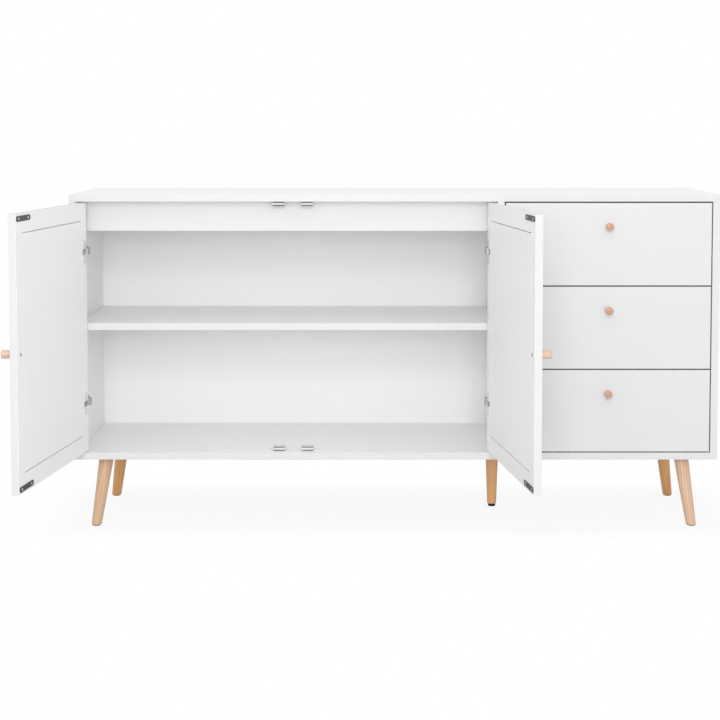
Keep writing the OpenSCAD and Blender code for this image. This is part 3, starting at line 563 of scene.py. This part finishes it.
def finish_board(node):
    """A finished board of laminate, with a darker white painted on its front as shade and its long
    edges eased.
    """
    run, bm, in_front = board_run(node), solid_copy(node), front_shade_test(node)
    ease(bm, settings()[1].board_ease, longer=60 * MM)
    bm.normal_update()
    for face in bm.faces:
        face.material_index = 1 if in_front(face) else 0
    piece = add_piece(bm, "finished_" + node, body_of(node), MATERIALS[run], [node])
    piece.data.materials.append(MATERIALS[run + "_front"])


def paint_node(node, material):
    """Gives a CAD node that stays as it is its material."""
    shown = frame["nodes"][node]
    shown.data.materials.clear()
    shown.data.materials.append(material)


def islands(bm):
    """The vertices of each separate solid in a bmesh."""
    seen, found = set(), []
    for first in bm.verts:
        if first in seen:
            continue
        group, waiting = {first}, [first]
        while waiting:
            vert = waiting.pop()
            near = {edge.other_vert(vert) for edge in vert.link_edges} - group
            group |= near
            waiting.extend(near)
        seen |= group
        found.append(group)
    return found


def box_of(points):
    """The lowest and the highest corner of some points."""
    low = Vector(min(p[i] for p in points) for i in range(3))
    high = Vector(max(p[i] for p in points) for i in range(3))
    return low, high


def spun(profile, segments=48):
    """A closed round solid from a profile of (radius, height) points that ends on the axis."""
    bm = bmesh.new()
    verts = [bm.verts.new((r, 0, h)) for r, h in profile]
    edges = [bm.edges.new(pair) for pair in zip(verts, verts[1:])]
    bmesh.ops.spin(bm, geom=verts + edges, cent=(0, 0, 0), axis=Z, angle=2 * math.pi,
                   steps=segments, use_merge=True)
    bmesh.ops.remove_doubles(bm, verts=bm.verts, dist=0.001 * MM)
    bmesh.ops.recalc_face_normals(bm, faces=bm.faces)
    return bm


def arc(centre, radius, start, end, steps):
    """Points on an arc in a profile, with its angles in degrees."""
    angles = [math.radians(start + (end - start) * i / steps) for i in range(steps + 1)]
    return [(centre[0] + radius * math.cos(a), centre[1] + radius * math.sin(a)) for a in angles]


def stamp(bm, shape, matrix):
    """Adds a copy of a mesh to a bmesh at a place."""
    before = set(bm.verts)
    bm.from_mesh(shape)
    bmesh.ops.transform(bm, matrix=matrix, verts=[v for v in bm.verts if v not in before])


def facing(point, direction):
    """A place whose Z axis points in a direction."""
    return Matrix.Translation(point) @ direction.to_track_quat("Z", "Y").to_matrix().to_4x4()


def keep_mesh(bm, name):
    """Turns a bmesh into a mesh."""
    mesh = bpy.data.meshes.new(name)
    bm.to_mesh(mesh)
    bm.free()
    return mesh


# ---- Screws ----


def sink_cross(bm, width, length, depth):
    """Sinks a tapered cross recess into the faces that look up."""
    for axis in (X, Y):
        for reach in (width, length):
            for side in (-0.5, 0.5):
                geom = bm.verts[:] + bm.edges[:] + bm.faces[:]
                bmesh.ops.bisect_plane(bm, geom=geom, dist=1e-7, plane_co=axis * reach * side,
                                       plane_no=axis)

    def in_cross(face):
        """Tells the top faces within the cross from the other ones."""
        spot = face.calc_center_median()
        narrow, wide = sorted((abs(spot.x), abs(spot.y)))
        return face.normal.z > 0.3 and narrow < width / 2 and wide < length / 2

    cross = [f for f in bm.faces if in_cross(f)]
    made = bmesh.ops.extrude_face_region(bm, geom=cross)
    bmesh.ops.delete(bm, geom=[f for f in cross if f.is_valid], context="FACES_ONLY")
    verts = [v for v in made["geom"] if isinstance(v, bmesh.types.BMVert)]
    bmesh.ops.translate(bm, verts=verts, vec=-Z * depth)
    bmesh.ops.scale(bm, verts=verts, vec=(0.55, 0.55, 1))


def screw_shape(head_r, head_h, shank_r, length, sunk):
    """A screw with its head's underside at z = 0, or its flush top when it is sunk."""
    rim, tip = 0.1 * MM, 0.6 * MM
    if sunk:
        head = [(0, 0), (head_r * 0.97, 0), (head_r, -rim), (shank_r, -head_h)]
    else:
        crown_r, side_h = head_r * 0.55, head_h * 0.3
        turns = [math.radians(a) for a in (25, 50, 75, 90)]
        shoulder = [(crown_r + head_r * 0.45 * math.sin(a), side_h + head_h * 0.67 * math.cos(a))
                    for a in turns]
        head = [(0, head_h), (crown_r, head_h * 0.97), *shoulder,
                (head_r, rim), (head_r * 0.97, 0), (shank_r, 0)]
    bm = spun(head + [(shank_r, tip - length), (shank_r * 0.4, -length), (0, -length)], 20)
    sink_cross(bm, width=head_r * 0.28, length=head_r * 1.15,
               depth=min(1.1 * MM, head_h * 0.75 + 0.2 * MM))
    return bm


def rod_shape(radius, length):
    """A plain rod with eased ends and its top at z = 0."""
    eased = 0.2 * MM
    return spun([(0, 0), (radius - eased, 0), (radius, -eased), (radius, eased - length),
                 (radius - eased, -length), (0, -length)], 16)


def finish_screws(node, material, pan_heads):
    """Screws with cross recesses in place of a CAD node's plain ones; plain rods stay.

    Screws with a pan head take a material of their own.
    """
    body, made, shapes = body_of(node), bmesh.new(), {}
    close = closed(body)
    source = solid_copy(node)
    bmesh.ops.transform(source, matrix=close, verts=source.verts)
    for group in islands(source):
        low, high = box_of([v.co for v in group])
        size = high - low
        run = max(range(3), key=lambda i: size[i])
        axis, middle, whole = (X, Y, Z)[run], (low + high) / 2, size[run]

        def radius_at(end, depth=0.0):
            """The screw's radius at a depth below one of its ends."""
            level = [v.co - middle for v in group if abs(abs(v.co[run] - end) - depth) < NEAR]
            return max((p - axis * p.dot(axis)).length for p in level)

        ends = {end: radius_at(end) for end in (low[run], high[run])}
        top, tail = sorted(ends, key=ends.get, reverse=True)
        head_r, shank_r = ends[top], ends[tail]
        up = axis if top > tail else -axis
        levels = sorted({round(abs(v.co[run] - top) / MM, 2) for v in group})
        head_h = levels[1] * MM
        is_rod, sunk = head_r < 1.2 * shank_r, radius_at(top, head_h) < 0.95 * head_r
        above = 0 if is_rod or sunk else head_h
        key = (is_rod, sunk, *(round(value, 5) for value in (head_r, head_h, whole)))
        if key not in shapes:
            shape = rod_shape(shank_r, whole) if is_rod else screw_shape(
                head_r, head_h, shank_r, whole - above, sunk)
            shapes[key] = keep_mesh(shape, "screw")
            for face in shapes[key].polygons:
                face.material_index = 1 if above else 0
        stamp(made, shapes[key], facing(middle + up * (whole / 2 - above), up))
    source.free()
    for shape in shapes.values():
        bpy.data.meshes.remove(shape)
    bmesh.ops.transform(made, matrix=close.inverted(), verts=made.verts)
    piece = add_piece(made, "finished_" + node, body, material, [node])
    piece.data.materials.append(pan_heads)


# ---- Operators ----


class FinishBoards(bpy.types.Operator):
    """Finishes the boards of the cabinet with eased edges and laminate"""

    bl_idname = "sideboard.boards"
    bl_label = "Boards"

    def execute(self, context):
        for node in ("top_panel", "bottom_panel", "left_side_panel", "right_side_panel",
                     "divider_panel", "front_rail", "shelf"):
            finish_board(node)
        for node in ("cupboard_back", "drawer_bay_back"):
            paint_node(node, MATERIALS["thin_board"])
        return {"FINISHED"}


class FinishDoors(bpy.types.Operator):
    """Finishes the frames and fields of the doors"""

    bl_idname = "sideboard.doors"
    bl_label = "Doors"

    def execute(self, context):
        for door in DOORS:
            for part in ("frame", "field"):
                finish_board(f"{door}_{part}")
        return {"FINISHED"}


class FinishDrawers(bpy.types.Operator):
    """Finishes the drawers: fronts, boxes and bottoms"""

    bl_idname = "sideboard.drawers"
    bl_label = "Drawers"

    def execute(self, context):
        for drawer in DRAWERS:
            for part in ("front", "box"):
                finish_board(f"{drawer}_{part}")
            paint_node(f"{drawer}_bottom", MATERIALS["thin_board"])
        return {"FINISHED"}


class FinishLegs(bpy.types.Operator):
    """Finishes the turned legs, their glides, plates and bolts, and the levelling foot"""

    bl_idname = "sideboard.legs"
    bl_label = "Legs"

    def execute(self, context):
        colours, sizes, _ = settings()
        for count, (node, tone) in enumerate(LEGS.items()):
            low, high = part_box(node)
            points = [v.co for v in frame["nodes"][node].data.vertices]
            foot = box_of([p for p in points if p.z < low.z + NEAR])
            top = box_of([p for p in points if p.z > high.z - NEAR])
            start, end = sum(foot, Vector()) / 2, sum(top, Vector()) / 2
            heart = (9 * MM + 3 * MM * math.sin(2.3 * count),
                     4 * MM * math.cos(1.7 * count) - 12 * MM)
            wood = solid_wood("wood_" + node, getattr(colours, tone), facing(start, end - start),
                              ring_pitch=4.2 * MM, heart=heart)
            finish_node(node, "oak", sizes.leg_ease, 3, material=wood,
                        wanted=lambda e: max(v.co.z for v in e.verts) < low.z + NEAR)
        finish_node("leg_plates", "dark_steel", sizes.metal_ease, longer=5 * MM)
        finish_node("leg_glides", "black_plastic", sizes.glide_ease)
        finish_node("levelling_foot", "black_plastic", sizes.foot_ease, 3)
        paint_node("leg_bolts", MATERIALS["bright_steel"])
        return {"FINISHED"}


class TurnKnobs(bpy.types.Operator):
    """Turns the knobs of the doors and the drawers"""

    bl_idname = "sideboard.knobs"
    bl_label = "Knobs"

    def execute(self, context):
        colours = settings()[0]
        for count, carrier in enumerate(DOORS + DRAWERS):
            node = carrier + "_knob"
            close = closed(carrier)
            low, high = box_of([close @ v.co for v in frame["nodes"][node].data.vertices])
            base = Vector(((low.x + high.x) / 2, high.y, (low.z + high.z) / 2))
            place = close.inverted() @ facing(base, -Y)
            length = high.y - low.y
            bm = spun(self.profile((high.x - low.x) / 2, length), 56)
            bmesh.ops.transform(bm, matrix=place, verts=bm.verts)
            wood = solid_wood("wood_" + node, colours.knob, place, ring_pitch=2.4 * MM,
                              heart=(5 * MM + count * MM, 3 * MM - count * MM),
                              end=(length - 0.8 * MM, colours.knob_end))
            add_piece(bm, "turned_" + node, carrier, wood, [node], flats=False)
        return {"FINISHED"}

    def profile(self, head_r, length):
        """A low dome, a rounded rim and a body that narrows to a foot with an eased edge."""
        foot_r, foot_h, dome_r, rim_r = 0.86 * head_r, 1.2 * MM, 2.4 * head_r, 2.4 * MM
        dome = arc((0, length - dome_r), dome_r, 90, 73, 6)
        rim = arc((head_r - rim_r, dome[-1][1] - 2.1 * MM), rim_r, 60, 0, 6)
        body = [(foot_r + (head_r - foot_r) * math.sin(math.radians(angle)),
                 foot_h + (rim[-1][1] - foot_h) * angle / 90) for angle in (75, 60, 45, 30, 15, 0)]
        foot = [(foot_r - 0.2 * MM, 0.4 * MM), (foot_r - 0.6 * MM, 0), (0, 0)]
        return dome + rim + body + foot


class FinishHinges(bpy.types.Operator):
    """Finishes the hinges: cups, arms, mounting plates and pins"""

    bl_idname = "sideboard.hinges"
    bl_label = "Hinges"

    def execute(self, context):
        sizes = settings()[1]
        self.bend_arms(sizes)
        finish_node("hinge_plates", "bright_steel", sizes.metal_ease, longer=1.5 * MM)
        for door in DOORS:
            self.press_cups(door, sizes)
            paint_node(door + "_pins", MATERIALS["bright_steel"])
        return {"FINISHED"}

    def bend_arms(self, sizes):
        """Arms of bent sheet, with two adjusting screws in the long face of each."""
        bm, screws, apart = solid_copy("hinge_arms"), bmesh.new(), 12 * MM
        screw = keep_mesh(screw_shape(head_r=3.4 * MM, head_h=1.3 * MM, shank_r=2 * MM,
                                      length=3 * MM, sunk=False), "adjuster")
        for group in islands(bm):
            into_room = -X if box_of([v.co for v in group])[0].x > 0 else X
            flats = [f for f in bm.faces if f.verts[0] in group and f.normal.dot(into_room) > 0.9]
            flat = max(flats, key=lambda f: f.calc_area())
            along = flat.normal.cross(Z).normalized()
            for side in (-apart / 2, apart / 2):
                stamp(screws, screw, facing(flat.calc_center_median() + along * side, flat.normal))
        bpy.data.meshes.remove(screw)
        ease(bm, sizes.metal_ease, longer=1.5 * MM)
        add_piece(bm, "finished_hinge_arms", "cabinet", MATERIALS["bright_steel"],
                  ["hinge_arms"])
        add_piece(screws, "hinge_adjusting_screws", "cabinet", MATERIALS["dark_steel"])

    def press_cups(self, door, sizes):
        """Pressed cups whose flanges have round corners."""
        node, close = door + "_cups", closed(door)
        bm = solid_copy(node)
        bmesh.ops.transform(bm, matrix=close, verts=bm.verts)
        for group in islands(bm):
            low, high = box_of([v.co for v in group])

            def at_corner(edge):
                first, second = (v.co for v in edge.verts)
                straight = abs((first - second).normalized().y) > 0.99
                at_end = all(min(p.z - low.z, high.z - p.z) < NEAR for p in (first, second))
                return edge.verts[0] in group and straight and at_end

            round_edges(bm, [e for e in bm.edges if at_corner(e)], sizes.flange_corner, 5)
        ease(bm, sizes.metal_ease, longer=1.2 * MM)
        bmesh.ops.transform(bm, matrix=close.inverted(), verts=bm.verts)
        add_piece(bm, "finished_" + node, door, MATERIALS["pressed_steel"], [node])


class FinishCatches(bpy.types.Operator):
    """Finishes the magnetic catches and their strike plates"""

    bl_idname = "sideboard.catches"
    bl_label = "Catches"

    def execute(self, context):
        sizes = settings()[1]
        # The housings' white is darkened as painted shade
        finish_node("catch_housings", "white_plastic", sizes.catch_ease, longer=4 * MM)
        finish_node("catch_magnets", "dark_steel", sizes.metal_ease, longer=1 * MM)
        for door in DOORS:
            finish_node(door + "_strikes", "dark_steel", sizes.metal_ease)
        return {"FINISHED"}


class FinishRunners(bpy.types.Operator):
    """Finishes the drawer runners"""

    bl_idname = "sideboard.runners"
    bl_label = "Runners"

    def execute(self, context):
        sizes = settings()[1]
        for carrier in ("cabinet",) + DRAWERS:
            finish_node(carrier + "_runners", "runner_steel", sizes.metal_ease, longer=10 * MM)
        return {"FINISHED"}


class FinishJoints(bpy.types.Operator):
    """Finishes the screws, the cam locks with their caps, the dowels and the shelf supports"""

    bl_idname = "sideboard.joints"
    bl_label = "Screws and joints"

    def execute(self, context):
        sizes = settings()[1]
        pressed = MATERIALS["pressed_steel"]
        finish_screws("carcass_screws", pressed, pressed)
        for carrier in DOORS + DRAWERS:
            finish_screws(carrier + "_screws", pressed, MATERIALS["bright_steel"])
        finish_node("shelf_supports", "bright_steel", sizes.metal_ease, longer=1.5 * MM)
        paint_node("cam_locks", MATERIALS["dark_steel"])
        paint_node("cam_bolts", MATERIALS["bright_steel"])
        paint_node("dowels", MATERIALS["beech"])
        self.add_caps(sizes)
        return {"FINISHED"}

    def add_caps(self, sizes):
        """Domed caps over the cam locks that face the cupboard."""
        inner_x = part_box("left_side_panel")[1].x
        r, h = sizes.cap_d / 2, sizes.cap_h
        dome = [(0, h), (r * 0.5, h * 0.97), (r * 0.85, h * 0.8), (r * 0.97, h * 0.45)]
        cap = keep_mesh(spun(dome + [(r, 0), (0, 0)], 40), "cap")
        source, caps, flush = solid_copy("cam_locks"), bmesh.new(), 0.2 * MM
        for group in islands(source):
            low, high = box_of([v.co for v in group])
            if abs(high.x - inner_x) < flush:
                at = Vector((inner_x, (low.y + high.y) / 2, (low.z + high.z) / 2))
                stamp(caps, cap, facing(at, X))
        source.free()
        bpy.data.meshes.remove(cap)
        add_piece(caps, "cam_cover_caps", "cabinet", MATERIALS["cap_plastic"])


class BuildStudio(bpy.types.Operator):
    """Sets up the floor, the surroundings, the lamps and the camera"""

    bl_idname = "sideboard.studio"
    bl_label = "Studio"

    def execute(self, context):
        studio = settings()[2]
        self.add_floor(studio)
        self.set_world(studio)
        self.add_lamp("front_lamp", studio.front_power, at=(0, -4.4, 1.2), size=(1.8, 0.9))
        self.add_lamp("high_lamp", studio.high_power, at=(0, -4.2, 2.2), size=(1.2, 0.8))
        self.add_lamp("top_lamp", studio.top_power, at=(0, -2.3, 3.3), size=(3.6, 1.2))
        self.add_lamp("back_lamp", studio.back_power, at=(0.6, 4.0, 0.45), size=(2.4, 0.6))
        self.add_camera(studio)
        context.scene.view_settings.view_transform = "Standard"
        return {"FINISHED"}

    def add_floor(self, studio):
        """A pale floor that shows white, but for a part of the shadow below the cabinet."""
        bm = bmesh.new()
        bmesh.ops.create_grid(bm, x_segments=1, y_segments=1, size=40)
        mesh = keep_mesh(bm, "floor")
        mesh.materials.append(self.floor_material(studio))
        floor = bpy.data.objects.new("studio_floor", mesh)
        bpy.context.scene.collection.objects.link(floor)

    def floor_material(self, studio):
        """White to the camera, mixed with a lit grey within reach of the bottom board."""
        material = bpy.data.materials.new("studio_floor")
        paint = Paint(material)
        spot = paint.place()
        ray = paint.node("LightPath", output="Is Camera Ray")
        low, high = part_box("bottom_panel")
        middle, reach = (low + high) / 2, (high - low) / 2
        offset = paint.vector_math("SUBTRACT", spot, (*middle.xy, 0))
        offset = paint.vector_math("ABSOLUTE", offset)
        beyond = paint.vector_math("SUBTRACT", offset, (*reach.xy, 0))
        beyond = paint.vector_math("MAXIMUM", beyond, (0, 0, 0))
        away = paint.vector_math("LENGTH", beyond, output="Value")
        fade = paint.rise(away, -0.04, 0.14, options=SOFT)
        tint = paint.noise(spot, scale=3)
        lit = paint.node("BsdfDiffuse", None, {
            "Color": paint.blend(tint, rgba(srgb(226, 226, 226)), rgba(srgb(229, 229, 229)))})
        white = paint.node("Emission", None, {"Color": WHITE, "Strength": 1.0})
        bright = paint.level(fade, 1 - studio.shadow_share, 1)
        shader = paint.node("MixShader", None, {0: bright * ray, 1: lit, 2: white})
        paint.node("OutputMaterial", None, {"Surface": shader})
        return material

    def set_world(self, studio):
        """Even light from all around, which the camera, metal and glass see as white."""
        world = bpy.context.scene.world or bpy.data.worlds.new("studio")
        bpy.context.scene.world = world
        paint = Paint(world)
        seen = paint.node("LightPath", output="Is Camera Ray")
        for kind in ("Is Glossy Ray", "Is Transmission Ray"):
            seen = seen + paint.node("LightPath", output=kind)
        seen = paint.node("Math", {"operation": "MINIMUM"}, {0: seen, 1: 1.0})
        strength = paint.level(seen, studio.ambient, 1.0)
        sky = paint.node("Background", None, {"Color": WHITE, "Strength": strength})
        paint.node("OutputWorld", None, {"Surface": sky})

    def add_lamp(self, name, power, at, size):
        """A soft box that looks at the middle of the cabinet."""
        middle = Vector((0, 0.1, 0.45))
        lamp = bpy.data.lights.new(name, "AREA")
        lamp.shape, lamp.size, lamp.size_y, lamp.energy = "RECTANGLE", *size, power
        holder = bpy.data.objects.new(name, lamp)
        holder.matrix_world = facing(Vector(at), Vector(at) - middle)
        bpy.context.scene.collection.objects.link(holder)

    def add_camera(self, studio):
        """The camera, with its lens and shift from the settings."""
        lens = bpy.data.cameras.new("camera")
        lens.lens, lens.sensor_width = studio.lens, 36
        lens.shift_x, lens.shift_y = studio.shift
        camera = bpy.data.objects.new("camera", lens)
        camera.location = studio.camera_at
        camera.rotation_euler = Euler((math.radians(90) - studio.camera_tilt, 0, 0))
        bpy.context.scene.collection.objects.link(camera)
        bpy.context.scene.camera = camera


STEPS = (FinishBoards, FinishDoors, FinishDrawers, FinishLegs, TurnKnobs, FinishHinges,
         FinishCatches, FinishRunners, FinishJoints, BuildStudio)


class SideboardPanel(bpy.types.Panel):
    """Lists the steps that finish the sideboard"""

    bl_idname = "VIEW3D_PT_sideboard"
    bl_label = "Sideboard"
    bl_space_type = "VIEW_3D"
    bl_region_type = "UI"
    bl_category = "Sideboard"

    def draw(self, context):
        for step in STEPS:
            self.layout.operator(step.bl_idname)
        for group in settings():
            for name in group.__annotations__:
                self.layout.prop(group, name)


GROUPS = (SideboardColours, SideboardSizes, StudioSettings)
GROUP_NAMES = ("sideboard_colours", "sideboard_sizes", "sideboard_studio")


def register():
    """Registers the classes and hangs the settings on the scene."""
    for item in GROUPS + STEPS + (SideboardPanel,):
        bpy.utils.register_class(item)
    for name, group in zip(GROUP_NAMES, GROUPS):
        setattr(bpy.types.Scene, name, bpy.props.PointerProperty(type=group))


def unregister():
    """Takes the settings and the classes away again."""
    for name in GROUP_NAMES:
        delattr(bpy.types.Scene, name)
    for item in reversed(GROUPS + STEPS + (SideboardPanel,)):
        bpy.utils.unregister_class(item)


def main():
    """Finishes the whole sideboard."""
    register()
    make_materials(settings()[0])
    for step in STEPS:
        group, name = step.bl_idname.split(".")
        getattr(getattr(bpy.ops, group), name)()


if __name__ == "__main__":
    main()
